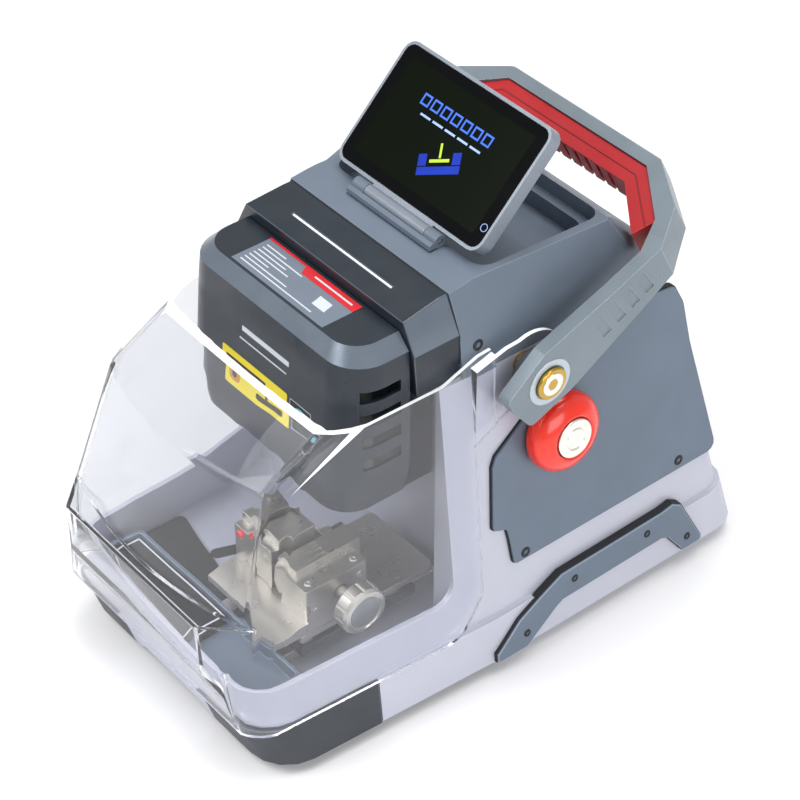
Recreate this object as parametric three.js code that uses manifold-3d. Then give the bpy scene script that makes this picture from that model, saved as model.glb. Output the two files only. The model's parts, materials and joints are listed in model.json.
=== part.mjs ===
// Bench key duplicating machine: a cutting head over a two-way sliding table with a key clamp,
// under a clear swing-up visor, with a folding display, a carrying bail and a stop button.
// Millimetres, +Z up. The origin is on the bench, under the middle of the machine's box.
// +X is the stop button's side and -Y is the front, where the operator stands. Parts are drawn with
// y = 0 at the back wall of the work bay, and the whole machine is then centred by CENTRE_Y.

import * as THREE from 'three';
import { mergeVertices } from 'three/addons/utils/BufferGeometryUtils.js';
import Module from 'manifold-3d';

const wasm = await Module();
wasm.setup();

// ---- driving dimensions ----

const GAP = 0.3; // left between pieces that touch
const HALF = 113; // half the width across the foot of the side walls
const SIDE_LEAN = 0.112; // how far a side wall leans in, per millimetre of height
const NOSE_TAPER = 0.06; // how far the nose draws in, per millimetre ahead of NOSE_START
const NOSE_START = -6;
const LEAN_ANGLE = Math.atan(SIDE_LEAN);

const BASE_BOTTOM = 10;
const RIM = 42; // ledge that the visor's sides close over
const SILL = 70; // top of the low walls round the work bay
const DECK = 222; // top of the base casting, where the upper covers begin
const FRONT_EDGE = [[BASE_BOTTOM, -169], [RIM, -179], [SILL, -180.5]]; // [height, y] of the front wall
const REAR_EDGE = [[BASE_BOTTOM, 203.4], [167, 165], [197, 160], [DECK, 148], [245, 137], [255, 127]];
const COLUMN_FRONT = -34; // front edge of the two side columns behind the work bay
const BAY_BACK = 0; // back wall of the work bay
const BAY_FLOOR = 34;
const WALL = 3.5;
const SKIN = 1.5; // how far the walls above the rim stand inside the side datum
const LEDGE = 1.6; // how far the foot of the walls stands outside it

const FOOT_HEIGHT = 6.4;
const FOOT_X = 90;
const FOOT_Y = [-90, 178];

const PIVOT = [26.5, 214]; // y and z of the line that the visor and the bail turn on
const EAR_R = 25;
const EAR_X = [92.8, 95.4];
const ARM_X = [103, 112];
const ARM_LENGTH = 146;
const BAIL_REST = THREE.MathUtils.degToRad(27.4);

const HINGE = [6, 280.5]; // y and z of the display's hinge line
const TABLET_REST = THREE.MathUtils.degToRad(45.3);
const TABLET = { width: 128, height: 83, depth: 10, lip: 4.2, rise: 5.2, corner: 8 };

const STOP_AT = [47, 160]; // y and z of the stop button on the side wall
const STOP_HEIGHT = 20.4;

const CHIN_TIP = -196; // foremost point, on the visor's chin
const CENTRE_Y = -(CHIN_TIP + REAR_EDGE[0][1] + LEDGE) / 2;

const SPINDLE_Y = -76;
const CLAMP_AXIS = [-88.5, 80.8]; // y and z of the clamp screw

// ---- materials ----

const paint = (color, roughness = 0.5, metalness = 0) =>
  new THREE.MeshStandardMaterial({ color, roughness, metalness });

const SILVER = () => paint(0xc3c5ce, 0.42, 0.35);
const SLATE = () => paint(0x6b7785, 0.48, 0.1);
const SHELL_GREY = () => paint(0x8a93a1, 0.45, 0.1);
const CHARCOAL = () => paint(0x353c46, 0.4, 0.1);
const CAP_GREY = () => paint(0x3f434b, 0.5);
const BAIL_GREY = () => paint(0x8f99a0, 0.4, 0.2);
const RED = () => paint(0xc9242c, 0.45);
const STOP_RED = () => paint(0xe83a1c, 0.3);
const STEEL = () => paint(0xb9b8b4, 0.3, 0.9);
const DARK_STEEL = () => paint(0x6d7076, 0.4, 0.8);
const RUBBER = () => paint(0x24262b, 0.8);
const BRASS = () => paint(0xc9a94e, 0.3, 0.9);
const GREEN = () => paint(0x2f6d4a, 0.6);
const WHITE = () => paint(0xf2f4f8, 0.4);

// ---- solids from geometry ----

function toSolid(geometry) {
  const bare = geometry.clone();
  bare.deleteAttribute('normal');
  bare.deleteAttribute('uv');
  const merged = mergeVertices(bare, 1e-4);
  const vertProperties = new Float32Array(merged.attributes.position.array);
  const triVerts = new Uint32Array(merged.index.array);
  if (signedVolume(vertProperties, triVerts) < 0) triVerts.reverse();
  return new wasm.Manifold(new wasm.Mesh({ numProp: 3, vertProperties, triVerts }));
}

function signedVolume(positions, triangles) {
  const corner = (k) => new THREE.Vector3().fromArray(positions, 3 * triangles[k]);
  let sum = 0;
  for (let k = 0; k < triangles.length; k += 3) {
    sum += corner(k).dot(corner(k + 1).cross(corner(k + 2)));
  }
  return sum / 6;
}

function toGeometry(solid) {
  const { vertProperties, triVerts } = solid.getMesh();
  const geometry = new THREE.BufferGeometry();
  geometry.setAttribute('position', new THREE.BufferAttribute(new Float32Array(vertProperties), 3));
  geometry.setIndex(new THREE.BufferAttribute(new Uint32Array(triVerts), 1));
  geometry.computeVertexNormals();
  return geometry;
}

/** Moves every corner of a solid by a rule of its place. */
function remap(solid, rule) {
  const { vertProperties, triVerts } = solid.getMesh();
  const moved = new Float32Array(vertProperties);
  for (let k = 0; k < moved.length; k += 3) {
    moved.set(rule(moved[k], moved[k + 1], moved[k + 2]), k);
  }
  return new wasm.Manifold(new wasm.Mesh({ numProp: 3, vertProperties: moved, triVerts }));
}

const join = (first, ...rest) => rest.reduce((sum, next) => sum.add(next), first);
const cut = (first, ...rest) => rest.reduce((left, next) => left.subtract(next), first);
const flipX = (solid) => {
  const { vertProperties, triVerts } = solid.getMesh();
  const mirrored = new Float32Array(vertProperties).map((v, k) => (k % 3 === 0 ? -v : v));
  const turned = new Uint32Array(triVerts).reverse();
  return new wasm.Manifold(new wasm.Mesh({ numProp: 3, vertProperties: mirrored, triVerts: turned }));
};

// ---- outlines ----

function circle(u, v, radius, sides = 24) {
  const turn = (2 * Math.PI) / sides;
  return Array.from({ length: sides }, (_, k) => [
    u + radius * Math.cos(k * turn),
    v + radius * Math.sin(k * turn),
  ]);
}

/** Replaces each corner of an outline by an arc. A radius of 0 leaves that corner sharp. */
function rounded(points, radii, steps = 4) {
  const out = [];
  points.forEach(([u, v], k) => {
    const radius = Array.isArray(radii) ? radii[k] : radii;
    if (!radius) {
      out.push([u, v]);
      return;
    }
    const corner = new THREE.Vector2(u, v);
    const toLast = new THREE.Vector2(...points.at(k - 1)).sub(corner).normalize();
    const toNext = new THREE.Vector2(...points[(k + 1) % points.length]).sub(corner).normalize();
    const half = Math.acos(toLast.dot(toNext)) / 2;
    const middle = toLast.clone().add(toNext).normalize();
    const centre = corner.clone().addScaledVector(middle, radius / Math.sin(half));
    const start = corner.clone().addScaledVector(toLast, radius / Math.tan(half)).sub(centre).angle();
    const end = corner.clone().addScaledVector(toNext, radius / Math.tan(half)).sub(centre).angle();
    const sweep = Math.atan2(Math.sin(end - start), Math.cos(end - start));
    for (let s = 0; s <= steps; s += 1) {
      const angle = start + (sweep * s) / steps;
      out.push([centre.x + radius * Math.cos(angle), centre.y + radius * Math.sin(angle)]);
    }
  });
  return out;
}

const rectangle = (u0, u1, v0, v1) => [[u0, v0], [u1, v0], [u1, v1], [u0, v1]];

// ---- extrusions along each axis ----

const AXES = {
  x: new THREE.Matrix4().makeBasis(
    new THREE.Vector3(0, 1, 0), new THREE.Vector3(0, 0, 1), new THREE.Vector3(1, 0, 0)),
  y: new THREE.Matrix4().makeBasis(
    new THREE.Vector3(1, 0, 0), new THREE.Vector3(0, 0, 1), new THREE.Vector3(0, -1, 0)),
  z: new THREE.Matrix4(),
};

/** Extrudes an outline: (y, z) along x, (x, z) along y or (x, y) along z, from low to high. */
function prism(axis, points, low, high, steps = 1) {
  const shape = new THREE.Shape(points.map(([u, v]) => new THREE.Vector2(u, v)));
  const options = { depth: high - low, bevelEnabled: false, steps };
  const geometry = new THREE.ExtrudeGeometry(shape, options);
  geometry.applyMatrix4(AXES[axis]);
  if (axis === 'x') geometry.translate(low, 0, 0);
  if (axis === 'y') geometry.translate(0, high, 0);
  if (axis === 'z') geometry.translate(0, 0, low);
  return toSolid(geometry);
}

const box = (x0, x1, y0, y1, z0, z1) => prism('z', rectangle(x0, x1, y0, y1), z0, z1);
const rod = (axis, u, v, radius, low, high, sides = 24) =>
  prism(axis, circle(u, v, radius, sides), low, high);

/** A turned shape: [radius, height] pairs, with the axis along x, y or z. */
function turned(profile, axis, sides = 32) {
  const geometry = new THREE.LatheGeometry(profile.map(([r, h]) => new THREE.Vector2(r, h)), sides);
  if (axis === 'x') geometry.rotateZ(-Math.PI / 2);
  if (axis === 'z') geometry.rotateX(Math.PI / 2);
  return toSolid(geometry);
}

// ---- the body's form ----

/** Reads a height-and-value line, carried on straight past its ends. */
function along(line, height) {
  let k = 1;
  while (k < line.length - 1 && height > line[k][0]) k += 1;
  const [[h0, v0], [h1, v1]] = [line[k - 1], line[k]];
  return v0 + ((v1 - v0) * (height - h0)) / (h1 - h0);
}

const frontAt = (z) => along(FRONT_EDGE, Math.min(z, SILL));
const rearAt = (z) => along(REAR_EDGE, z);
const sideAt = (y, z) => HALF - SIDE_LEAN * z - NOSE_TAPER * Math.max(0, NOSE_START - y);

/** The body's plan outline at one height, drawn in on every side by an inset. */
function planAt(z, inset, corners = [27, 20]) {
  const side = HALF - SIDE_LEAN * z - inset;
  const front = frontAt(z) + inset;
  const rear = rearAt(z) - inset;
  const nose = side - NOSE_TAPER * (NOSE_START - front);
  const [frontCorner, rearCorner] = corners.map((r) => Math.max(r - inset, 2));
  const outline = [
    [-nose, front], [nose, front], [side, NOSE_START], [side, rear], [-side, rear], [-side, NOSE_START],
  ];
  return rounded(outline, [frontCorner, frontCorner, 0, rearCorner, rearCorner, 0]);
}

/** Closes a stack of rings, each with the same number of points, into a solid. */
function loft(rings) {
  const count = rings[0].length;
  const positions = rings.flat(2);
  const triangles = [];
  for (let r = 0; r < rings.length - 1; r += 1) {
    for (let k = 0; k < count; k += 1) {
      const [a, b] = [r * count + k, r * count + ((k + 1) % count)];
      triangles.push(a, b, b + count, a, b + count, a + count);
    }
  }
  const flat = rings[0].map(([x, y]) => new THREE.Vector2(x, y));
  const top = (rings.length - 1) * count;
  THREE.ShapeUtils.triangulateShape(flat, []).forEach(([a, b, c]) => {
    triangles.push(a, c, b, top + a, top + b, top + c);
  });
  const geometry = new THREE.BufferGeometry();
  geometry.setAttribute('position', new THREE.Float32BufferAttribute(positions, 3));
  geometry.setIndex(triangles);
  return toSolid(geometry);
}

/** The body's form between two heights. */
function form(inset, low, high, corners) {
  const bends = [...FRONT_EDGE, ...REAR_EDGE].map(([z]) => z);
  const levels = [low, ...bends.filter((z) => z > low && z < high), high];
  const sorted = [...new Set(levels)].sort((a, b) => a - b);
  return loft(sorted.map((z) => planAt(z, inset, corners).map(([x, y]) => [x, y, z])));
}

/** Leans a solid that was drawn with upright sides to follow the side walls. */
function lean(solid) {
  const scale = (x, y, z) => [(x * sideAt(y, z)) / HALF, y, z];
  const nose = box(-200, 200, -300, NOSE_START, -50, 400);
  const parts = [solid.intersect(nose), solid.subtract(nose)].filter((part) => !part.isEmpty());
  return join(...parts.map((part) => remap(part, scale)));
}

// ---- the assembly ----

const machine = new THREE.Group();
machine.name = 'key_duplicating_machine';
machine.position.y = CENTRE_Y;

function add(name, solid, material, parent = machine) {
  const mesh = new THREE.Mesh(toGeometry(solid), material);
  mesh.name = name;
  parent.add(mesh);
  return mesh;
}

function addPair(name, solid, material) {
  add(`${name}_right`, solid, material());
  add(`${name}_left`, flipX(solid), material());
}

// ---- base and fixed covers ----

const CAP_INNER_X = 41;
const CAP_REAR_Y = -94;

function capRegion(margin) {
  const region = box(CAP_INNER_X - margin, 200, -300, CAP_REAR_Y + margin, 0, RIM + margin);
  return join(region, flipX(region));
}

function makeBase() {
  const foot = form(-LEDGE, BASE_BOTTOM, RIM);
  const tub = form(SKIN, RIM - 1, SILL);
  const tower = form(SKIN, SILL - 1, DECK).intersect(box(-200, 200, COLUMN_FRONT, 300, 0, 300));
  const coveY = COLUMN_FRONT - 14;
  const cove = cut(
    box(-200, 200, coveY, COLUMN_FRONT + 1, SILL - 1, SILL + 14),
    rod('x', coveY, SILL + 14, 14, -201, 201, 32),
  ).intersect(form(SKIN, SILL - 2, SILL + 20));
  const bay = form(SKIN + WALL, BAY_FLOOR, SILL + 30, [24, 12])
    .intersect(box(-200, 200, -300, COLUMN_FRONT, 0, 300));
  const alcove = box(-82, 82, COLUMN_FRONT - 1, BAY_BACK, BAY_FLOOR, DECK + 5);
  const rearBay = form(SKIN + WALL, BASE_BOTTOM + 4, DECK + 1)
    .intersect(box(-200, 200, BAY_BACK + 4, 300, 0, 300));
  const underside = form(SKIN + WALL, BASE_BOTTOM - 2, BAY_FLOOR - 4)
    .intersect(box(-200, 200, -300, 0, 0, 300));
  const arch = [[-CAP_INNER_X + 1, 0], [CAP_INNER_X - 1, 0], [30, 17], [-30, 17]];
  const skirtArch = prism('y', rounded(arch, [0, 0, 8, 8]), -230, -150);
  const capSeat = capRegion(GAP).subtract(form(SKIN + 1, -5, RIM + 30));
  const inletHole = box(-62, -32, 170, 230, 24, 46);
  const usbHole = box(34, 50, 170, 230, 30, 38);
  const grilleHole = box(-30, 30, 140, 230, 90, 150);
  const pivotBore = rod('x', ...PIVOT, 7.3, -120, 120);
  const solid = cut(join(foot, tub, tower, cove), bay, alcove, rearBay, underside, skirtArch,
    capSeat, inletHole, usbHole, grilleHole, pivotBore);
  add('base_housing', solid, SILVER());
}

function makeCornerCaps() {
  const rim = form(-LEDGE, BASE_BOTTOM - 1.5, RIM - GAP);
  const solid = rim.subtract(form(SKIN + 1 - GAP, -5, RIM + 30))
    .intersect(box(CAP_INNER_X, 200, -300, CAP_REAR_Y, 0, 100));
  addPair('corner_cap', solid, CAP_GREY);
}

function makeUnderside() {
  const outline = rectangle(-96, 96, -150, 186);
  const z = BASE_BOTTOM - GAP;
  add('bottom_cover', prism('z', rounded(outline, 14), z - 3, z), DARK_STEEL());
  const profile = [[0, 0], [7.6, 0], [9, 1.2], [9.6, FOOT_HEIGHT - 0.4], [0, FOOT_HEIGHT - 0.4]];
  ['front', 'rear'].forEach((end, k) => {
    [['left', -1], ['right', 1]].forEach(([side, sign]) => {
      const foot = add(`foot_${end}_${side}`, turned(profile, 'z', 24), RUBBER());
      foot.position.set(sign * FOOT_X, FOOT_Y[k], 0);
    });
  });
}

// side view of the raised foot rail, from its front end: the top line, then back along the bottom
const RAIL_TOP = [
  [-9, 17], [10, 34], [27, 42.5], [45, 50.5], [130, 52.5], [140, 54], [147, 50], [164.5, 16],
];
const RAIL_BOTTOM = [
  [163, 14], [148, 13.6], [135, 30.5], [129, 32.5], [45, 31], [39, 28], [14.6, 11.4], [-9, 11.4],
];

function makeSideRails() {
  const strip = prism('x', [...RAIL_TOP, ...RAIL_BOTTOM], HALF + 1.9, HALF + 5.1);
  addPair('side_rail', lean(strip), SLATE);
}

/** The rail's and the panel's outer faces, as drawn before the walls lean. */
const PANEL_X = [HALF - SKIN + GAP, HALF + 1.2];

function sidePanelOutline() {
  const rear = (z) => rearAt(z) - 6;
  return [
    [11, 75], [rear(76), 76], [rear(167), 167], [rear(197), 197], [rear(212), 212],
    [95, 219], [66, 204], [1.5, 159.5], [-1.5, 153], [-4, 108], [6.5, 104], [8.3, 95],
  ];
}

function makeSidePanels() {
  const outline = rounded(sidePanelOutline(), [3, 6, 0, 0, 5, 4, 6, 5, 3, 3, 3, 2], 3);
  const plate = lean(prism('x', outline, ...PANEL_X));
  addPair('side_panel', plate, SLATE);
}

const TOP_FRONT = -16.7;
const TOP_LINE = [[TOP_FRONT, 275], [2, 277], [104, 272.5], [127, 255], [137, 245], [148, DECK + GAP]];
const CHAMFER_LOW = 251; // height where the shoulders start to slope in
const TOP_CORNER = [100.7, 275]; // straight-drawn x and height of the shoulder's top edge

function shoulderSection(inset) {
  const side = HALF - SKIN - inset;
  const [cornerX, cornerZ] = TOP_CORNER;
  const low = DECK + GAP;
  return [
    [-side, low], [side, low], [side, CHAMFER_LOW - inset / 2], [cornerX - inset, cornerZ - inset],
    [cornerX - inset - 8, 290 - inset], [-(cornerX - inset - 8), 290 - inset],
    [-(cornerX - inset), cornerZ - inset], [-side, CHAMFER_LOW - inset / 2],
  ];
}

/** The upper shell's form between its front seam and the rear, drawn in by an inset. */
function upperForm(inset, front) {
  const profile = [[front, DECK + GAP - (inset ? 1 : 0)]];
  TOP_LINE.forEach(([y, z], k) => {
    const last = k === TOP_LINE.length - 1;
    const height = last ? z - (inset ? 1 : 0) : z - inset;
    const rearward = y - inset * (k > 2 ? 0.9 : 0);
    profile.push([k === 0 ? front : rearward, height]);
  });
  const section = prism('y', shoulderSection(inset), -120, 200);
  const corners = form(SKIN + inset, DECK - 2, 290, [27, 22]);
  return lean(section.intersect(prism('x', profile, -200, 200))).intersect(corners);
}

const RECESS = { half: 68, front: 10.4, rear: 104, floor: 262, pocket: 250, pocketFront: 58 };
const TRAY_WALL = 2.5; // wall of the recess that the folded display lies in

function makeTopShell() {
  const { half, front, rear, floor, pocket, pocketFront } = RECESS;
  const plan = (grow) =>
    rounded(rectangle(-half - grow, half + grow, front - grow, rear + grow), 10 + grow);
  const deepPlan = (grow) =>
    rounded(rectangle(-half + 8 - grow, half - 8 + grow, pocketFront - grow, rear - 6 + grow), 8);
  const opening = join(prism('z', plan(0), floor, 300), prism('z', deepPlan(0), pocket, 300));
  const tray = join(
    prism('z', plan(TRAY_WALL), floor - TRAY_WALL, 300),
    prism('z', deepPlan(TRAY_WALL), pocket - TRAY_WALL, 300),
  );
  const outer = upperForm(0, TOP_FRONT);
  const hollow = upperForm(3, TOP_FRONT + 3).subtract(tray);
  const hingeSeat = box(-38.4, 38.4, -2.4, front + 1, 275.8, 300);
  add('top_shell', cut(outer, hollow, opening, hingeSeat), SHELL_GREY());
}

const COVER_FRONT = -50;
const COVER_HALF = 83;
const COVER_TOP = 274.2;
const LIGHT_BAR = { half: 45.3, front: -36.4, rear: -35.2, low: 269 };

function makeFrontCover() {
  const section = (inset) => {
    const low = DECK + GAP - (inset ? 2 : 0);
    const side = COVER_HALF - inset;
    const top = 71.5 - inset;
    return [[-side, low], [side, low], [side, 252], [top, COVER_TOP - inset], [-top, COVER_TOP - inset],
      [-side, 252]];
  };
  const slope = (inset) => [
    [COVER_FRONT + inset + 4, 200], [TOP_FRONT - GAP, 200], [TOP_FRONT - GAP, 275 - inset],
    [COVER_FRONT + inset, 271 - inset], [COVER_FRONT + inset, 250],
  ];
  const rear = TOP_FRONT - GAP;
  const outer = prism('y', section(0), -60, rear).intersect(prism('x', slope(0), -100, 100));
  const hollow = prism('y', section(3), -70, rear - 3).intersect(prism('x', slope(3), -100, 100));
  const { half, front, rear: behind, low } = LIGHT_BAR;
  const slotLine = box(-half - GAP, half + GAP, front - GAP, behind + GAP, low - GAP, COVER_TOP + 10);
  const window = box(-60, 60, -70, COVER_FRONT + 8, 200, 262);
  add('front_cover', cut(outer, hollow, slotLine, window), CHARCOAL());
  add('light_bar', box(-half, half, front, behind, low, 272.6), WHITE());
}

const HEAD = { half: 80, rear: COVER_FRONT - 0.6, corner: 24, wall: 2.2 };
// [height, inset of the sides, y of the front] of the head cover, from its foot up
const HEAD_LEVELS = [[150, 6, -96.5], [172, 1, -98.8], [240, 0, -92.5], [255, 1, -91], [264, 10, -84]];

/** The head cover's form: round front corners, drawn in towards its top and its foot. */
function headForm(inset) {
  const top = HEAD_LEVELS.length - 1;
  return loft(HEAD_LEVELS.map(([z, drawnIn, front], k) => {
    const side = HEAD.half - drawnIn - inset;
    const plan = rectangle(-side, side, front + inset, HEAD.rear);
    const foot = k === 0 && inset ? 1 : 0;
    const height = z - foot - (k === top ? inset : 0);
    const radius = HEAD.corner - drawnIn * 0.6 - inset;
    return rounded(plan, [radius, radius, 0, 0], 7).map(([x, y]) => [x, y, height]);
  }));
}

function makeHead() {
  const vents = join(...[231, 215, 199, 183].map((z) => box(60, 90, -83, -57, z, z + 8)));
  const room = box(-100, 100, -200, HEAD.rear - HEAD.wall, 0, 400);
  const slideGap = box(-48, 48, -70, HEAD.rear + 1, 140, 258);
  const shell = headForm(0).subtract(headForm(HEAD.wall).intersect(room));
  add('head_cover', cut(shell, slideGap, vents, flipX(vents)), CHARCOAL());
}

function makePivots() {
  const head = ARM_X[1] + 0.6; // inner face of the bolt's head
  const stud = turned([
    [0, EAR_X[0] - 8], [7, EAR_X[0] - 8], [7, head], [10.5, head],
    [10.5, head + 1.8], [9.8, head + 2.4], [0, head + 2.4],
  ], 'x', 32);
  const spacer = cut(rod('x', 0, 0, 15, EAR_X[1] + GAP, ARM_X[0] - GAP), rod('x', 0, 0, 7.3, 80, 120));
  [['right', 1], ['left', -1]].forEach(([side, sign]) => {
    const mirror = (solid) => (sign > 0 ? solid : flipX(solid));
    add(`pivot_bolt_${side}`, mirror(stud), BRASS()).position.set(0, ...PIVOT);
    add(`pivot_spacer_${side}`, mirror(spacer), DARK_STEEL()).position.set(0, ...PIVOT);
  });
}

// ---- visor ----

const VISOR_OUT = 3.8; // outside of the visor's sides beyond the side datum
const VISOR_WALL = 2.8;
const CHIN = { half: 64, tip: CHIN_TIP, low: 84, high: 121 };

/** Side view of the visor, front band and sides together. */
function visorOutline() {
  const front = [[-113, 223], [-158, 201], [-184, CHIN.high], [-188, 86], [-183.6, RIM + 0.6]];
  const sides = [[-34, RIM + 0.6], [-16, 68], [-14, 186], [8, 237], [-8, 236], [-34, 226]];
  return rounded([...front, ...sides], [0, 8, 5, 4, 0, 20, 12, 8, 4, 8, 8], 4);
}

/** The hollow inside the visor: open below, behind and over the head. */
function visorHollow() {
  const t = VISOR_WALL;
  const front = [
    [-84, 234.6], [-158 + t, 201 - t * 0.7], [-184 + t, CHIN.high + t / 4], [-188 + t, 86],
  ];
  const open = [[-183.6 + t, RIM - 2], [2, RIM - 2], [2, 260], [-84, 260]];
  return rounded([...front, ...open], [0, 7, 4, 4, 0, 0, 0, 0], 4);
}

/** Bows the front of a solid: it is fullest in the middle and falls back to the sides. */
function bow(solid) {
  const depth = 9;
  return remap(solid, (x, y, z) => {
    const ahead = THREE.MathUtils.clamp((-108 - y) / 50, 0, 1);
    const above = THREE.MathUtils.clamp((z - SILL - 10) / 40, 0, 1);
    return [x, y + depth * ahead * above * ((x / 88) ** 2 - 0.6), z];
  });
}

function visorBody(outline, inset) {
  const half = HALF + VISOR_OUT - inset;
  return lean(bow(prism('x', outline, -half, half, 12))).intersect(visorPlan(inset));
}

// [height, y of the front, radius of its two corners] of the visor's plan
const VISOR_CORNERS = [[30, -184.6, 24], [84, -190.5, 34], [CHIN.high, -192, 46], [200, -167, 50],
  [223, -125, 50], [260, -60, 50]];

function visorPlan(inset) {
  return loft(VISOR_CORNERS.map(([z, frontY, radius]) => {
    const rear = HALF - SIDE_LEAN * z + VISOR_OUT - inset + 0.6;
    const front = frontY + inset;
    const nose = rear - NOSE_TAPER * (NOSE_START - front);
    const outline = [[-nose, front], [nose, front], [rear, NOSE_START], [rear, 60], [-rear, 60],
      [-rear, NOSE_START]];
    const corner = radius - inset;
    return rounded(outline, [corner, corner, 0, 0, 0, 0], 8).map(([x, y]) => [x, y, z]);
  }));
}

/** The chin that juts from the foot of the visor's front. */
function chinForm(inset) {
  const { half, tip, low, high } = CHIN;
  const side = [[tip + inset, high - inset], [tip + inset + 1.5, low + inset * 1.4],
    [-180, 52 + inset * 2], [-170, high - inset]];
  const plan = [[-half + inset, tip - 1], [half - inset, tip - 1], [half + 26 - inset, -170],
    [-half - 26 + inset, -170]];
  const outline = prism('z', rounded(plan, [7, 7, 0, 0]), 0, 200);
  return prism('x', rounded(side, [1, 3, 0, 0], 3), -110, 110).intersect(outline);
}

function makeVisor() {
  const lug = (x) => rod('x', ...PIVOT, EAR_R, ...x, 40);
  const web = [[-14.4, 176], [12, 190], [30, 205], [30, 238], [8, 237], [-14.4, 231]];
  const [inner, outer] = EAR_X;
  const ears = join(prism('x', web, -outer, outer), lug([-outer, outer]));
  const betweenEars = box(-inner, inner, 1, 60, 170, 260);
  const bore = rod('x', ...PIVOT, 7.4, -120, 120);
  const solid = cut(join(visorBody(visorOutline(), 0), chinForm(0), ears),
    visorBody(visorHollow(), VISOR_WALL), chinForm(VISOR_WALL), betweenEars, bore);
  add('visor', solid, paint(0xe9edf2, 0.08));
}

// ---- carrying bail, drawn lying along +y from its pivot ----

function makeBail() {
  const bail = new THREE.Group();
  bail.position.set(0, ...PIVOT);
  bail.rotation.x = BAIL_REST;
  machine.add(bail);
  const reach = ARM_LENGTH;
  const [inX, outX] = ARM_X;
  const half = (outline) => [...outline, ...outline.map(([x, y]) => [-x, y]).reverse()];
  const outer = half([[outX, -28], [outX, 99], [97, 126], [65, reach]]);
  const inner = half([[inX, -40], [inX, 91], [93.6, 112.4], [61.6, reach - 8.6]]);
  const frame = cut(prism('z', outer, -22, 22), prism('z', inner, -23, 23));
  const sideView = [[-24, -18], [10, -21], [72, -17], [110, -14], [reach + 1, -13], [reach + 1, 9],
    [104, 11], [60, 15], [6, 22], [-30, 14]];
  const profile = prism('x', rounded(sideView, [5, 8, 0, 0, 3, 3, 8, 10, 6, 5], 3), -120, 120);
  const slots = [42, 54, 66, 78].map((y) => {
    const recess = prism('x', [[y, -9], [y + 7, -9], [y + 5, 8], [y - 2, 8]], outX - 0.8, outX + 1);
    return join(recess, flipX(recess));
  });
  const bores = join(rod('x', 0, 0, 7.3, 90, 120), rod('x', 0, 0, 7.3, -120, -90));
  add('bail_frame', cut(frame.intersect(profile), ...slots, bores), BAIL_GREY(), bail);

  const back = half([[93.2, 112.1], [61.4, reach - 9]]);
  const front = half([[87, 97.5], [57, 122]]).reverse();
  const padding = prism('z', [...back, ...front], -15, 12);
  const ribs = Array.from({ length: 10 }, (_, k) => {
    const x = -46.5 + 10 * k;
    return box(x - 3, x, 121, 124, -16, 6);
  });
  const section = rounded([[90, -13], [reach - 8, -13.4], [reach - 8, 8], [90, 8]], [4, 3, 2, 4]);
  add('bail_grip', cut(padding.intersect(prism('x', section, -120, 120)), ...ribs), RED(), bail);
}

// ---- folding display, drawn lying flat with its hinge line at the origin ----

function makeDisplay() {
  const display = new THREE.Group();
  display.position.set(0, ...HINGE);
  display.rotation.x = TABLET_REST;
  machine.add(display);
  const { width, height, depth, lip, rise, corner } = TABLET;
  const [y0, y1] = [rise, rise + height];
  const [z0, z1] = [lip - depth - 4, lip - 4];
  const plan = rounded(rectangle(-width / 2, width / 2, y0, y1), corner);
  const pocket = rounded(rectangle(-width / 2 + 1.6, width / 2 - 1.6, y0 + 2, y1 - 2), corner - 1.6);
  const glass = rounded(rectangle(-width / 2 + 1.9, width / 2 - 1.9, y0 + 2.3, y1 - 2.3), corner - 1.9);
  const knuckle = cut(
    join(rod('x', 0, 0, 4.3, -27, 27, 24), box(-27, 27, 1.5, y0 + 2, -3.8, 0.1)),
    rod('x', 0, 0, 2.1, -40, 40, 16),
  );
  const shell = cut(prism('z', plan, z0, z1), prism('z', pocket, z1 - 2.2, z1 + 1));
  add('display_case', join(shell, knuckle), paint(0xa9afb8, 0.4, 0.3), display);
  add('display_glass', prism('z', glass, z1 - 1.9, z1 - 0.1), paint(0x0b0d12, 0.08), display);
}

function makeHingeBlock() {
  const [y, z] = HINGE;
  const foot = 277.4;
  const section = [[y - 8, foot], [y + 3, foot], [y + 3, 279], [y - 5.6, 281.6], [y - 8, 280.4]];
  const bed = prism('x', section, -38, 38);
  const ear = (x0, x1) => join(rod('x', y, z, 4.3, x0, x1, 24), box(x0, x1, y - 6, y + 3, foot, z));
  const clearance = rod('x', y, z, 4.9, -27.4, 27.4, 24);
  const lift = box(-27.4, 27.4, y - 3, y + 10, 270, 300);
  const pinBore = rod('x', y, z, 2.1, -50, 50, 16);
  const solid = cut(join(bed, ear(-38, -27.4), ear(27.4, 38)), clearance, lift, pinBore);
  add('hinge_block', solid, SHELL_GREY());
  add('hinge_pin', rod('x', y, z, 1.8, -37, 37, 16), STEEL());
}

// ---- stop button, drawn with its axis along x from the side wall ----

function makeStopButton() {
  const group = new THREE.Group();
  group.position.set(sideAt(...STOP_AT) + 1.6, ...STOP_AT);
  group.rotation.y = -LEAN_ANGLE;
  machine.add(group);
  const guard = turned([
    [13.4, 0], [23, 0], [25.8, 4], [25.8, 9], [24, 13], [19.6, 16.6], [15, 18], [13.4, 17.2], [13.4, 0],
  ], 'x', 40);
  const face = STOP_HEIGHT - 1.6;
  const button = turned([
    [0, 4], [10.5, 4], [10.5, 8], [12.9, 8], [12.9, face - 0.6], [11.6, face],
    [7.6, face], [7, face - 0.8], [6.4, face], [0, face],
  ], 'x', 32);
  add('stop_guard', guard, STOP_RED(), group);
  add('stop_button', button, STEEL(), group);
}

// ---- sliding table and key clamp ----

const TABLE_TOP = 60;
const SADDLE_X = [-14, 60];

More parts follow.
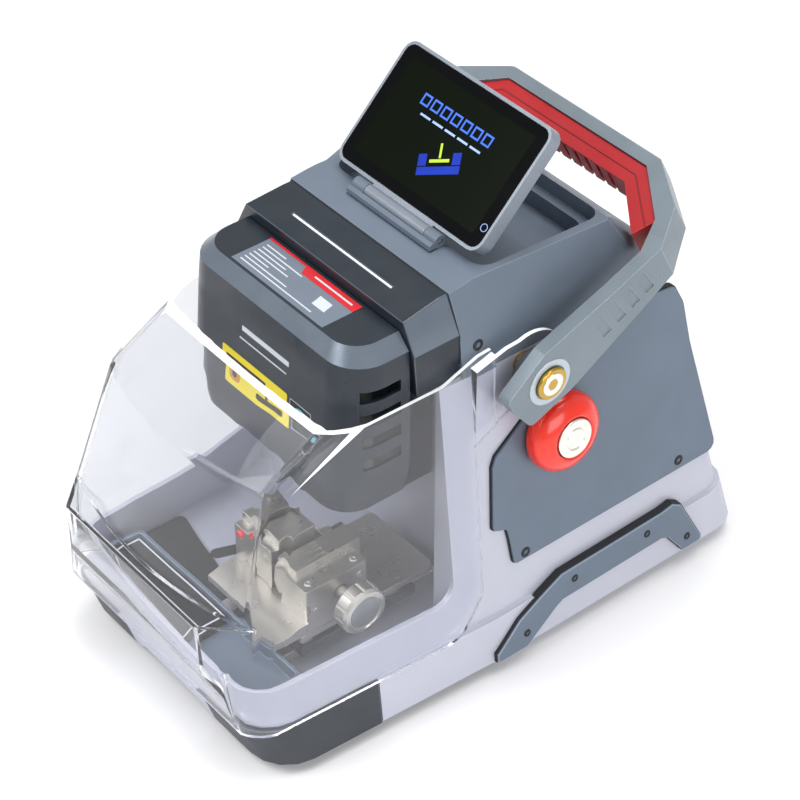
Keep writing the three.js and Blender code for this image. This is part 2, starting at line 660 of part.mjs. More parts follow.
function makeTable() {
  const floor = BAY_FLOOR + GAP;
  const [left, right] = SADDLE_X;
  const middle = (left + right) / 2;
  [['left', left + 10], ['right', right - 14]].forEach(([side, x]) => {
    add(`y_rail_${side}`, box(x - 6, x + 6, -132, -6, floor, floor + 8), STEEL());
  });
  add('y_lead_screw', rod('y', middle, floor + 4.2, 3.6, -131, -8, 16), STEEL());
  add('y_motor', box(middle - 21, middle + 21, 6, 46, 18.3, 60.3), CAP_GREY());
  add('y_saddle', box(left, right, -118, -30, floor + 8 + GAP, 49.2), DARK_STEEL());
  [['front', -112], ['rear', -46]].forEach(([end, y]) => {
    add(`x_rail_${end}`, box(left + 2, right - 2, y - 4, y + 4, 49.5, 54.6), STEEL());
  });
  add('x_lead_screw', rod('x', -79, 52.1, 2.3, left + 4, right - 4, 16), STEEL());
  const outline = [[left, -120], [61, -120], [61, -16], [0, -16], [0, -58], [left, -58]];
  add('x_table', prism('z', rounded(outline, [3, 3, 5, 3, 0, 3]), 55, TABLE_TOP), STEEL());
}

function makeClamp() {
  const [screwY, screwZ] = CLAMP_AXIS;
  const bed = TABLE_TOP + GAP;
  const bore = rod('x', screwY, screwZ, 5, 26, 90, 24);
  const base = prism('x', [[-132, bed], [-62, bed], [-62, 68.4], [-120, 68.4], [-132, 65]], -14, 61);
  const block = prism('z', rounded(rectangle(31, 61, -114, -68), [2, 2, 2, 2], 2), 68, 93.8);
  const step = box(31, 46, -110, -62, 68, 98);
  const lug = [[40, -138], [60, -138], [61, -130], [61, -114], [24, -114], [24, -128]];
  const nose = prism('z', lug, bed, 66);
  const slots = [34, 38, 42].map((x) => box(x, x + 1.6, -98, -86, 96.8, 100));
  add('clamp_body', cut(join(base, block, step, nose), bore, ...slots), STEEL());
  const jaw = [
    [-112, 68.8], [-74, 68.8], [-74, 92], [-80, 92], [-80, 104], [-106, 104], [-106, 98], [-112, 98],
  ];
  const fixed = cut(prism('x', jaw, -12, 4.6), box(2.6, 6, -120, -60, 97, 100));
  add('fixed_jaw', fixed, STEEL());
  const moving = cut(prism('x', jaw, 10, 26), box(8, 12, -120, -60, 97, 100));
  add('moving_jaw', moving, STEEL());
  const knob = turned([
    [0, 28.6], [4.2, 28.6], [4.2, 73], [14, 73], [16, 75], [16, 83], [14.6, 85], [12, 85.4],
    [11.6, 84.4], [0, 84.4],
  ], 'x', 32);
  const grip = Array.from({ length: 12 }, (_, k) => {
    const angle = (2 * Math.PI * k) / 12;
    return rod('x', 17.2 * Math.cos(angle), 17.2 * Math.sin(angle), 1.9, 70, 90, 8);
  });
  add('clamp_knob', cut(knob, ...grip), STEEL()).position.set(0, screwY, screwZ);
}

function makeTrays() {
  const outline = rounded(rectangle(-82, 82, -171, -134), [14, 14, 3, 3]);
  const inner = rounded(rectangle(-79.5, 79.5, -168.5, -136.5), [12, 12, 2, 2]);
  const pan = cut(prism('z', outline, BAY_FLOOR + GAP, 56), prism('z', inner, 47, 60));
  add('chip_tray', pan, SLATE());
  const mat = rounded(rectangle(-79, 14, -168, -137), [11, 2, 2, 4]);
  add('tool_mat', prism('z', mat, 47.3, 53.4), RUBBER());
  const bayMat = [[-95.5, -132], [-95.5, -93.5], [-64, -101.6], [-35, -107], [-16, -111], [-16, -132]];
  const low = BAY_FLOOR + GAP;
  add('bay_mat', prism('z', rounded(bayMat, [4, 4, 0, 0, 3, 3], 2), low, low + 2.5), RUBBER());
}

// ---- cutting head ----

function makeColumn() {
  const back = cut(box(-40, 40, -46, -0.6, 112, DECK - 0.4), box(-30, 30, -38, 0, 120, 300));
  add('z_column', back, DARK_STEEL());
  [['left', -25], ['right', 25]].forEach(([side, x]) => {
    add(`z_rail_${side}`, box(x - 4, x + 4, -52.4, -46.3, 116, DECK - 1), STEEL());
  });
}

function makeSpindle() {
  const bore = rod('z', 0, SPINDLE_Y, 13.3, 150, 260, 32);
  const probeBore = rod('z', -26, SPINDLE_Y, 4.4, 150, 260, 16);
  const carriage = cut(box(-34, 34, -91, -52.8, 164, 206), bore, probeBore);
  add('z_carriage', carriage, DARK_STEEL());
  const shaftBore = rod('z', 0, SPINDLE_Y, 9.6, 150, 211, 24);
  const quill = rod('z', 0, SPINDLE_Y, 13, 156, 206, 32).subtract(shaftBore);
  add('spindle_quill', quill, STEEL());
  const shaft = turned([
    [0, 142], [5.5, 142], [11, 145], [11, 153.5], [9.2, 155], [9.2, 210], [0, 210],
  ], 'z', 24);
  const socket = rod('z', 0, 0, 2.8, 130, 152, 16);
  const motor = rod('z', 0, SPINDLE_Y, 13, 206.4, 232, 32).subtract(shaftBore);
  add('spindle_motor', motor, CAP_GREY());
  add('collet_spindle', shaft.subtract(socket), DARK_STEEL()).position.set(0, SPINDLE_Y, 0);
  const cutter = turned([[0, 119], [1.2, 119], [2.5, 121.6], [2.5, 151], [0, 151]], 'z', 16);
  add('cutter', cutter, STEEL()).position.set(0, SPINDLE_Y, 0);
  const probe = turned([[0, 120], [1.2, 120.4], [1.4, 138], [4.1, 142], [4.1, 200], [0, 200]], 'z', 16);
  add('probe', probe, STEEL()).position.set(-26, SPINDLE_Y, 0);
}

// ---- rear bay ----

function makeElectronics() {
  const floor = BASE_BOTTOM + 4 + GAP;
  add('power_supply', box(-78, 10, 70, 170, floor, floor + 38), DARK_STEEL());
  add('control_board', box(-70, 70, 20, 128, 100, 101.8), GREEN());
  add('battery_pack', box(20, 80, 80, 165, floor, floor + 30), CAP_GREY());
  const face = (z, out) => rearAt(z) - out;
  const frame = (out, thick, half, z0, z1) => {
    const outside = [[face(z0, out), z0], [face(z1, out), z1]];
    const inside = [[face(z1, out + thick), z1], [face(z0, out + thick), z0]];
    return prism('x', [...outside, ...inside], -half, half);
  };
  const slots = [98, 108, 118, 128, 138].map((z) => box(-25, 25, 150, 190, z - 3, z));
  add('rear_grille', cut(frame(1.8, 3, 29.5, 90.5, 149.5), ...slots), CHARCOAL());
  const inlet = frame(1.9, 14, 14.6, 24.4, 45.6);
  const socket = frame(-2, 14, 10, 28, 42);
  add('power_inlet', inlet.subtract(socket), RUBBER()).position.x = -47;
  const usb = frame(1.9, 10, 7.6, 30.4, 37.6).subtract(frame(-2, 9, 6, 32, 36));
  add('usb_socket', usb, STEEL()).position.x = 42;
}

makeBase();
makeCornerCaps();
makeUnderside();
makeSideRails();
makeSidePanels();
makeTopShell();
makeFrontCover();
makeHead();
makePivots();
makeVisor();
makeBail();
makeDisplay();
makeHingeBlock();
makeStopButton();
makeTable();
makeClamp();
makeTrays();
makeColumn();
makeSpindle();
makeElectronics();

export default machine;
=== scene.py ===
import json
import math

import bmesh
import bpy
from mathutils import Matrix, Vector
from mathutils.bvhtree import BVHTree


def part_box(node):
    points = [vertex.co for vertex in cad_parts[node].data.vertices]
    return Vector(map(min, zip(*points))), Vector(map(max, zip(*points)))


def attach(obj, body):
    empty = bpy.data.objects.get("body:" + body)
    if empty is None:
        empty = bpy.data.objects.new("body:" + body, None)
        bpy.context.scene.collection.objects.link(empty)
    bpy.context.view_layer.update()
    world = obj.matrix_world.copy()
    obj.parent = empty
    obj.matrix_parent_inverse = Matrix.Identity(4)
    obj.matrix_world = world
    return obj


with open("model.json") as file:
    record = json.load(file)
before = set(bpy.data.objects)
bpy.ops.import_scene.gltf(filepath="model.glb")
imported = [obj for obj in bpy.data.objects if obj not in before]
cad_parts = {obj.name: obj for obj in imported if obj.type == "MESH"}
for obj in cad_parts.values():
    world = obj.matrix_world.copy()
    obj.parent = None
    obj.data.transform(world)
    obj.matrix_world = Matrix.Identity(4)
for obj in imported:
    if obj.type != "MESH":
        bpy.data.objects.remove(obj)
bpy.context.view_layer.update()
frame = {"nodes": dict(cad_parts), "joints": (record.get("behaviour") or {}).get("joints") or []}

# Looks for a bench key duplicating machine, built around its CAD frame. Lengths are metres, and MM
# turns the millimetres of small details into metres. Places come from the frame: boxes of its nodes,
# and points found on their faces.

MM = 0.001
HINGE_Y = 26.5  # y of the visor's hinge, in mm, counted from the work bay's back wall
nodes = frame["nodes"]
joints = {joint["name"]: joint for joint in frame["joints"]}
# y in the frame, in mm, of the work bay's back wall, which the y of every place below is counted from
BAY_BACK = joints["visor_hinge"]["pos_m"][1] / MM - HINGE_Y


def place(x, y, z):
    """A point of the frame, in metres, from millimetres counted from the bay's back wall."""
    return Vector((x, y + BAY_BACK, z)) * MM


def add_object(name, data):
    """A new object in the scene, from a mesh, a lamp or a lens."""
    thing = bpy.data.objects.new(name, data)
    bpy.context.scene.collection.objects.link(thing)
    return thing


# ---- finishes ----

DRIFT_SCALE = 17.0  # waves to a metre of a finish's slow drift of colour
SHEEN_SCALE = 60.0  # and of its change of sheen
COAT_ROUGHNESS = 0.12
CLEAR_IOR = 1.34
CLEAR_SHADOW = (0.93, 0.93, 0.95, 1.0)
LIT_ROUGHNESS = 0.2
LIT_SPECULAR = 0.08


def colour(code):
    """A linear colour from a six-digit hex code."""
    shares = [int(code[k:k + 2], 16) / 255 for k in (0, 2, 4)]
    return (*[c / 12.92 if c <= 0.04045 else ((c + 0.055) / 1.055) ** 2.4 for c in shares], 1.0)


def shade_of(rgba, amount):
    """The same colour darker (below 1) or lighter (above 1)."""
    return (*[min(1.0, c * amount) for c in rgba[:3]], 1.0)


class Tree:
    """A material's node tree, with short calls for the few nodes that the finishes share."""

    def __init__(self, name):
        self.material = bpy.data.materials.new(name)
        self.material.use_nodes = True
        self.tree = self.material.node_tree
        self.shader = self.tree.nodes["Principled BSDF"]
        self.output = self.tree.nodes["Material Output"]
        self.coords = self.add("ShaderNodeTexCoord").outputs["Object"]

    def add(self, kind, **settings):
        node = self.tree.nodes.new(kind)
        for key, value in settings.items():
            setattr(node, key, value)
        return node

    def link(self, out, into):
        self.tree.links.new(out, into)

    def stretched(self, scale):
        mapping = self.add("ShaderNodeMapping")
        mapping.inputs["Scale"].default_value = scale
        self.link(self.coords, mapping.inputs["Vector"])
        return mapping.outputs["Vector"]

    def noise(self, scale, detail=3.0, stretch=None):
        node = self.add("ShaderNodeTexNoise")
        node.inputs["Scale"].default_value = scale
        node.inputs["Detail"].default_value = detail
        self.link(self.stretched(stretch) if stretch else self.coords, node.inputs["Vector"])
        return node.outputs["Fac"]

    def ranged(self, value, low, high, start=0.3, end=0.7):
        node = self.add("ShaderNodeMapRange")
        node.inputs["From Min"].default_value = start
        node.inputs["From Max"].default_value = end
        node.inputs["To Min"].default_value = low
        node.inputs["To Max"].default_value = high
        self.link(value, node.inputs["Value"])
        return node.outputs["Result"]

    def mixed(self, share, first, second):
        node = self.add("ShaderNodeMix", data_type="RGBA")
        self.link(share, node.inputs["Factor"])
        for name, value in (("A", first), ("B", second)):
            socket = [s for s in node.inputs if s.name == name and s.type == "RGBA"][0]
            if isinstance(value, tuple):
                socket.default_value = value
            else:
                self.link(value, socket)
        return [s for s in node.outputs if s.type == "RGBA"][0]

    def bump(self, height, distance, strength=1.0):
        node = self.add("ShaderNodeBump")
        node.inputs["Distance"].default_value = distance
        node.inputs["Strength"].default_value = strength
        self.link(height, node.inputs["Height"])
        self.link(node.outputs["Normal"], self.shader.inputs["Normal"])


def finish(name, code, rough, metal=0.0, coat=0.0, grain=1400.0, depth=0.02, vary=0.1, spread=0.07,
           stretch=None, gloss=0.5):
    """A moulded, painted or machined finish.

    Its colour drifts slowly by vary, its sheen by spread, and a fine grain of the given depth in mm
    breaks the light. stretch draws the grain out into machining marks.
    """
    t = Tree(name)
    base = colour(code)
    drift = t.ranged(t.noise(DRIFT_SCALE, 5.0), 0.0, 1.0)
    tone = t.mixed(drift, shade_of(base, 1 - vary), shade_of(base, 1 + vary))
    t.link(tone, t.shader.inputs["Base Color"])
    t.link(t.ranged(t.noise(SHEEN_SCALE, 4.0), rough - spread, rough + spread), t.shader.inputs["Roughness"])
    t.shader.inputs["Metallic"].default_value = metal
    t.shader.inputs["Coat Weight"].default_value = coat
    t.shader.inputs["Coat Roughness"].default_value = COAT_ROUGHNESS
    t.shader.inputs["Specular IOR Level"].default_value = gloss
    t.bump(t.noise(grain, 2.0, stretch), depth * MM, 0.6)
    return t.material


def clear(name, code, rough, share):
    """Clear moulding. Lamps reach what it covers, so it has a plain stand-in for their rays."""
    t = Tree(name)
    haze = t.ranged(t.noise(9.0, 2.0), 0.0, 1.0)
    base = colour(code)
    t.link(t.mixed(haze, shade_of(base, 0.97), base), t.shader.inputs["Base Color"])
    t.shader.inputs["Transmission Weight"].default_value = share
    t.shader.inputs["IOR"].default_value = CLEAR_IOR
    t.link(t.ranged(t.noise(35.0, 3.0), rough * 0.5, rough * 1.5), t.shader.inputs["Roughness"])
    t.bump(t.noise(22.0, 1.0), 0.05 * MM, 0.25)
    path = t.add("ShaderNodeLightPath")
    open_way = t.add("ShaderNodeBsdfTransparent")
    open_way.inputs["Color"].default_value = CLEAR_SHADOW
    mix = t.add("ShaderNodeMixShader")
    t.link(path.outputs["Is Shadow Ray"], mix.inputs[0])
    t.link(t.shader.outputs[0], mix.inputs[1])
    t.link(open_way.outputs[0], mix.inputs[2])
    t.link(mix.outputs[0], t.output.inputs["Surface"])
    return t.material


def glowing(name, code, strength):
    """A lit patch of the display or the light bar, slightly uneven like a real backlight."""
    t = Tree(name)
    base = colour(code)
    share = t.ranged(t.noise(40.0, 2.0), 0.0, 1.0)
    tone = t.mixed(share, shade_of(base, 0.85), base)
    t.link(tone, t.shader.inputs["Base Color"])
    t.link(tone, t.shader.inputs["Emission Color"])
    t.shader.inputs["Emission Strength"].default_value = strength
    t.shader.inputs["Roughness"].default_value = LIT_ROUGHNESS
    t.shader.inputs["Specular IOR Level"].default_value = LIT_SPECULAR
    return t.material


# The lighter edge finishes go on the small round edges that dress() makes, as a painted highlight along them.
SILVER = finish("silver_casting", "b9bbc8", 0.38, metal=0.2, coat=0.1, vary=0.03, depth=0.03)
# on the base's round edges a painted highlight; it also colours the pale frame round the mat
SILVER_EDGE = finish("silver_edge", "dcdde6", 0.3, metal=0.2, coat=0.2, vary=0.03)
SLATE = finish("slate_panel", "616e7e", 0.42, metal=0.15, vary=0.05, depth=0.03)
SLATE_EDGE_HIGHLIGHT = finish("slate_edge_highlight", "8793a2", 0.36, metal=0.15, vary=0.05)
SHELL = finish("shell_grey", "66717f", 0.38, metal=0.15, vary=0.05, depth=0.03)
SHELL_EDGE_HIGHLIGHT = finish("shell_edge_highlight", "8e99a8", 0.32, metal=0.15, vary=0.05)
CHARCOAL = finish("charcoal_cover", "202831", 0.34, metal=0.1, vary=0.06, depth=0.03)
CHARCOAL_EDGE_HIGHLIGHT = finish("charcoal_edge_highlight", "4b5561", 0.3, metal=0.1, vary=0.06)
# lighter, more metallic finish on the covers' upward sloping chamfer faces: a painted highlight
CHAMFER_HIGHLIGHT = finish("charcoal_chamfer_highlight", "66707c", 0.26, metal=0.35, vary=0.05)
BLACK = finish("black_plastic", "101215", 0.5, vary=0.2)
# near-black for the gaps round the side plates and between the covers: painted shade
SEAM_SHADE = finish("seam_shade", "14171b", 0.6, vary=0.15)
CAP = finish("cap_grey", "30343b", 0.45, vary=0.08, depth=0.05)
CAP_EDGE_HIGHLIGHT = finish("cap_edge_highlight", "5a6069", 0.38, vary=0.08)
BAIL = finish("bail_grey", "77828a", 0.34, metal=0.3, vary=0.05, depth=0.03)
# on the bail's round edges a painted highlight; it is also the washers' own colour
BAIL_EDGE = finish("bail_edge", "b4bec5", 0.26, metal=0.3, vary=0.04)
GRIP = finish("grip_red", "a80c16", 0.42, vary=0.06, depth=0.06, grain=2200.0)
GRIP_EDGE_HIGHLIGHT = finish("grip_edge_highlight", "cf2a33", 0.36, vary=0.05)
# darker red for the grip's inset groove: painted shade
GRIP_GROOVE_SHADE = finish("grip_groove_shade", "7d0b13", 0.5, vary=0.08)
STOP = finish("stop_red", "e62404", 0.24, coat=0.45, vary=0.05, depth=0.01)
STEEL = finish("steel", "cbc7bf", 0.3, metal=0.85, vary=0.04, spread=0.04, stretch=(1.0, 0.06, 1.0))
# on the round edges of the steel parts a painted highlight; it is also the own colour of the stop button and
# the bolt faces
STEEL_EDGE = finish("steel_edge", "e9e6df", 0.2, metal=0.85, vary=0.03, spread=0.03)
DARK_STEEL = finish("dark_steel", "64666b", 0.38, metal=0.75, vary=0.06, spread=0.04, stretch=(1.0, 0.1, 1.0))
RUBBER = finish("rubber_black", "0b0c0f", 0.6, vary=0.15, depth=0.06, grain=1800.0)
BRASS = finish("brass_ring", "c2a04a", 0.24, metal=0.95, vary=0.08)
CIRCUIT = finish("circuit_green", "235c3d", 0.5, vary=0.15)
DIFFUSER = glowing("white_diffuser", "e9ebf0", 0.35)
FRAME_GREY = finish("display_frame", "858d98", 0.3, metal=0.4, vary=0.04)
FRAME_EDGE_HIGHLIGHT = finish("display_frame_edge_highlight", "bcc2ca", 0.24, metal=0.4, vary=0.04)
GLASS = finish("display_glass", "020304", 0.1, vary=0.1, spread=0.02, depth=0.002, gloss=0.12)
VISOR = clear("clear_visor", "f0f1f4", 0.015, 0.975)
# milkier and less clear than the visor, on its round edges: a painted highlight along them
VISOR_EDGE_HIGHLIGHT = clear("clear_visor_edge_highlight", "e4e7ec", 0.2, 0.35)
# opaque white on the visor's upward rim faces: a painted highlight along its top edge
RIM_HIGHLIGHT = finish("visor_rim_highlight", "f4f6f9", 0.2, coat=0.4, vary=0.03, depth=0.01)
LABEL = finish("label_grey", "747e8c", 0.34, metal=0.3, vary=0.05)
PRINT = finish("label_marks", "c3c8d0", 0.4, vary=0.03)
STRIPE = finish("label_stripe", "c01822", 0.35, vary=0.05)
YELLOW = finish("label_yellow", "ecd80e", 0.34, vary=0.03)
AMBER = finish("label_amber", "c98a1c", 0.4, vary=0.06)
INK = finish("label_ink", "2a2512", 0.45, vary=0.1)
TEAL = finish("label_teal", "6cc8d2", 0.34, vary=0.05)
LIT_GROUND = glowing("picture_ground", "040a02", 0.3)
LIT_BLUE = glowing("picture_blue", "3f63c8", 0.9)
LIT_DEEP = glowing("picture_deep", "1b2f8e", 0.8)
LIT_PALE = glowing("picture_pale", "8fa4d8", 0.7)
LIT_GREEN = glowing("picture_green", "9fb63a", 0.8)
SENSOR = finish("sensor_red", "d2333a", 0.3, vary=0.1)
KNOB_FACE = finish("knob_face", "8f9196", 0.4, metal=0.6, vary=0.05)


# ---- carried-over CAD nodes ----

WELD = 0.002  # distance in mm within which points are joined
FLAT_ANGLE = 0.5  # degrees within which faces count as one flat face
HEAD_CHAMFER_FOOT = 255  # height in mm over which the head's sloping faces are its chamfer, which takes a painted highlight
RIM_FOOT = 215  # height in mm over which the visor's upward faces are its rim, which takes a painted white highlight
RIM_FRONT = -114  # y in mm behind which they are


def dress(names, look, edge, width=0.5, angle=28.0, segments=2):
    """Gives CAD nodes a finish and small round edges, whose faces take a second finish, a painted highlight
    where lighter.
    """
    for name in names:
        node = nodes[name]
        node.data.materials.clear()
        node.data.materials.append(look)
        node.data.materials.append(edge)
        for face in node.data.polygons:
            face.use_smooth = True
        weld = node.modifiers.new("weld", "WELD")
        weld.merge_threshold = WELD * MM
        flat = node.modifiers.new("flat", "DECIMATE")
        flat.decimate_type = "DISSOLVE"
        flat.angle_limit = math.radians(FLAT_ANGLE)
        flat.delimit = {"MATERIAL"}
        bevel = node.modifiers.new("edges", "BEVEL")
        bevel.width = width * MM
        bevel.segments = segments
        bevel.limit_method = "ANGLE"
        bevel.angle_limit = math.radians(angle)
        bevel.use_clamp_overlap = True
        # the round edges' faces take the second finish: a painted highlight where it is lighter
        bevel.material = 1
        even = node.modifiers.new("even", "WEIGHTED_NORMAL")
        even.keep_sharp = False
        even.weight = 90


def tint(name, look, test):
    """Gives some faces of a CAD node another finish, such as a painted highlight: those whose middle and
    normal pass a test.
    """
    mesh = nodes[name].data
    mesh.materials.append(look)
    for face in mesh.polygons:
        if test(face.center / MM, face.normal):
            face.material_index = len(mesh.materials) - 1


def dress_frame():
    # The second finish in each call goes on the round edges; where it is a lighter edge finish it is a
    # painted highlight.
    dress(["base_housing"], SILVER, SILVER_EDGE, 0.9, segments=3)
    dress(["side_rail_right", "side_rail_left"], SLATE, SLATE_EDGE_HIGHLIGHT, 0.6)
    dress(["side_panel_right", "side_panel_left"], SLATE, SLATE_EDGE_HIGHLIGHT, 0.5)
    dress(["chip_tray"], SLATE, SLATE_EDGE_HIGHLIGHT, 0.4)
    dress(["top_shell", "hinge_block"], SHELL, SHELL_EDGE_HIGHLIGHT, 0.8, segments=3)
    dress(["front_cover", "head_cover"], CHARCOAL, CHARCOAL_EDGE_HIGHLIGHT, 0.6)
    dress(["rear_grille", "y_motor", "spindle_motor", "battery_pack"], CAP, CAP_EDGE_HIGHLIGHT, 0.3)
    dress(["corner_cap_right", "corner_cap_left"], CAP, CAP_EDGE_HIGHLIGHT, 0.8, segments=3)
    dress(["bail_frame"], BAIL, BAIL_EDGE, 1.2, segments=3)
    dress(["bail_grip"], GRIP, GRIP_EDGE_HIGHLIGHT, 1.2, segments=3)
    dress(["stop_guard"], STOP, STOP, 0.4, angle=40)
    dress(["stop_button"], STEEL_EDGE, STEEL_EDGE, 0.35, angle=32)
    dress(["hinge_pin", "y_rail_left", "y_rail_right", "y_lead_screw", "x_rail_front",
           "x_rail_rear", "x_lead_screw", "x_table", "clamp_body", "fixed_jaw", "moving_jaw", "clamp_knob",
           "z_rail_left", "z_rail_right", "spindle_quill", "cutter", "probe", "usb_socket"],
          STEEL, STEEL_EDGE, 0.35, angle=32)
    dress(["bottom_cover", "pivot_spacer_right", "pivot_spacer_left", "y_saddle", "z_column", "z_carriage",
           "collet_spindle", "power_supply"], DARK_STEEL, DARK_STEEL, 0.4)
    dress(["foot_front_left", "foot_front_right", "foot_rear_left", "foot_rear_right", "tool_mat",
           "bay_mat", "power_inlet"], RUBBER, RUBBER, 0.4)
    dress(["pivot_bolt_right", "pivot_bolt_left"], BRASS, BRASS, 0.3)
    dress(["control_board"], CIRCUIT, CIRCUIT, 0.2)
    dress(["light_bar"], DIFFUSER, DIFFUSER, 0.2)
    dress(["display_case"], FRAME_GREY, FRAME_EDGE_HIGHLIGHT, 0.7, segments=3)
    dress(["display_glass"], GLASS, GLASS, 0.2)
    dress(["visor"], VISOR, VISOR_EDGE_HIGHLIGHT, 0.5, angle=50)
    # The chamfer faces, picked by which way they face, take a lighter finish: a painted highlight.
    tint("front_cover", CHAMFER_HIGHLIGHT, lambda at, n: abs(n.x) > 0.5 and n.z > 0.4)
    tint("head_cover", CHAMFER_HIGHLIGHT, lambda at, n: 0.2 < n.z < 0.9 and at.z > HEAD_CHAMFER_FOOT)
    # the visor's upward rim faces take an opaque white finish: a painted highlight
    tint("visor", RIM_HIGHLIGHT, lambda at, n: n.z > 0.5 and at.z > RIM_FOOT and at.y > RIM_FRONT + BAY_BACK)


# ---- making pieces ----

def show(name, mesh_tools, look, body, smooth=True):
    """Turns mesh tools into a named piece that rides on a body."""
    mesh = bpy.data.meshes.new(name)
    bmesh.ops.recalc_face_normals(mesh_tools, faces=mesh_tools.faces)
    mesh_tools.to_mesh(mesh)
    mesh_tools.free()
    mesh.materials.append(look)
    for face in mesh.polygons:
        face.use_smooth = smooth
    piece = add_object(name, mesh)
    if smooth:
        even = piece.modifiers.new("even", "WEIGHTED_NORMAL")
        even.keep_sharp = False
    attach(piece, body)
    return piece


def rings_into(tools, rings, matrix):
    """Skins a stack of rings of points, closed at both ends."""
    made = [[tools.verts.new(matrix @ Vector(p)) for p in ring] for ring in rings]
    for low, high in zip(made, made[1:]):
        for k in range(len(low)):
            j = (k + 1) % len(low)
            tools.faces.new([low[k], low[j], high[j], high[k]])
    tools.faces.new(list(reversed(made[0])))
    tools.faces.new(made[-1])


def ring(radius, height, sides=0, count=36):
    """A ring of points in mm: a circle, or a polygon of some sides with that inner radius."""
    points = []
    for k in range(count):
        angle = 2 * math.pi * k / count
        reach = radius
        if sides:
            sector = math.pi / sides
            reach = radius / math.cos((angle % (2 * sector)) - sector)
        points.append((reach * math.cos(angle) * MM, reach * math.sin(angle) * MM, height * MM))
    return points


def facing(at, normal):
    """The place and turn of something that stands on a face."""
    return Matrix.Translation(at) @ normal.to_track_quat("Z", "Y").to_matrix().to_4x4()


surfaces = {}
DOWN = (0, 0, -1)
BACK = (0, 1, 0)
AWAY = 60  # how far in mm from where a point is wanted the line that looks for it starts
BESIDE = 200  # x in mm of points well outside the machine's sides


def land(node, start, way):
    """Where a line from a point, in mm, first meets a CAD node, and the face's normal there."""
    if node not in surfaces:
        mesh = nodes[node].data
        surfaces[node] = BVHTree.FromPolygons([v.co for v in mesh.vertices],
                                              [list(p.vertices) for p in mesh.polygons])
    at, normal, _, _ = surfaces[node].ray_cast(place(*start), Vector(way).normalized())
    if at is None:
        raise ValueError(f"nothing of {node} lies that way from {start}")
    return at, normal


def socket_screws(name, places, radius, look=BLACK, body="base"):
    """Domed screws with a hexagon socket, one piece for a set. places are (point, normal)."""
    tools = bmesh.new()
    dome = [(1.0, -1.0, 0), (1.0, 0.25, 0), (0.9, 0.55, 0), (0.6, 0.7, 0)]
    socket = [(0.48, 0.7, 6), (0.45, -0.5, 6)]
    for at, normal in places:
        rings = [ring(share * radius, height, sides) for share, height, sides in dome + socket]
        rings_into(tools, rings, facing(at, normal))
    return show(name, tools, look, body)


def side_places(node, points, sign):
    """Places on the outer face of a side part, from (y, z) in mm."""
    return [land(node, (sign * BESIDE, y, z), (-sign, 0, 0)) for y, z in points]


SHEET_SUNK = 0.05  # how far in mm a label's underside lies inside what it is on


def head_sheet(name, corners, lift, look, way, cells, corner=0.0):
    """A thin label laid on the head.

    corners are four points in mm, in order round the label. Points between them are dropped along way
    onto the head. The label's face stands lift mm over it. corner is the radius of the label's corners.
    """
    a, b, c, d = [Vector(p) for p in corners]
    across, up = cells
    du, dv = corner / (b - a).length, corner / (d - a).length
    tools = bmesh.new()
    grid = []
    for j in range(up + 1):
        row = []
        for i in range(across + 1):
            u, v = i / across, j / up
            if corner:
                u, v = round_corner(snapped(u, du, across), snapped(v, dv, up), du, dv)
            spot = a.lerp(b, u).lerp(d.lerp(c, u), v)
            at, normal = land("head_cover", spot - Vector(way) * AWAY, way)
            row.append(tools.verts.new(at + normal * lift * MM))
        grid.append(row)
    for j in range(up):
        for i in range(across):
            tools.faces.new([grid[j][i], grid[j][i + 1], grid[j + 1][i + 1], grid[j + 1][i]])
    bmesh.ops.recalc_face_normals(tools, faces=tools.faces)
    outward = sum((f.normal for f in tools.faces), Vector())
    if outward.dot(Vector(way)) > 0:
        bmesh.ops.reverse_faces(tools, faces=tools.faces)
    bmesh.ops.extrude_face_region(tools, geom=list(tools.faces))
    for vert in [v for row in grid for v in row]:
        vert.co += Vector(way).normalized() * (lift + SHEET_SUNK) * MM
    return show(name, tools, look, "base", smooth=False)


def snapped(share, radius, cells):
    """Keeps the second row of a grid at the start of the round corner."""
    step = 1 / cells
    if abs(share - step) < 1e-6:
        return radius
    if abs(share - 1 + step) < 1e-6:
        return 1 - radius
    return share


def round_corner(u, v, du, dv):
    """Pulls the four corner points of a unit square in to the middle of their arcs."""
    pull = 1 - math.sqrt(0.5)
    if u in (0.0, 1.0) and v in (0.0, 1.0):
        u = du * pull if u == 0.0 else 1 - du * pull
        v = dv * pull if v == 0.0 else 1 - dv * pull
    return u, v


def cord_line(name, points, radius, look, body, closed=False):
    """A thin round bead along points in metres, as a mesh."""
    curve = bpy.data.curves.new(name, "CURVE")
    curve.dimensions = "3D"
    curve.bevel_depth = radius * MM
    curve.bevel_resolution = 1
    curve.use_fill_caps = True
    line = curve.splines.new("POLY")
    line.points.add(len(points) - 1)
    for point, co in zip(line.points, points):
        point.co = (*co, 1.0)
    line.use_cyclic_u = closed
    maker = bpy.data.objects.new(name + "_maker", curve)
    mesh = bpy.data.meshes.new_from_object(maker)
    bpy.data.objects.remove(maker)
    mesh.name = name
    mesh.materials.clear()
    mesh.materials.append(look)
    for face in mesh.polygons:
        face.use_smooth = True
    piece = add_object(name, mesh)
    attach(piece, body)
    return piece


# ---- details ----

SIDES = (("right", 1), ("left", -1))


def make_screws():
    rail = [(14.7, 21.7), (55.2, 42.1), (116.9, 43.3), (151.6, 22.9)]
    panel = [(19.9, 79.6), (148.3, 82.4)]
    for side, sign in SIDES:
        socket_screws(f"rail_screws_{side}", side_places(f"side_rail_{side}", rail, sign), 2.6)
        socket_screws(f"panel_screws_{side}", side_places(f"side_panel_{side}", panel, sign), 3.5)
        socket_screws(f"shell_screw_{side}", side_places("top_shell", [(-4.7, 239.9)], sign), 3.6)


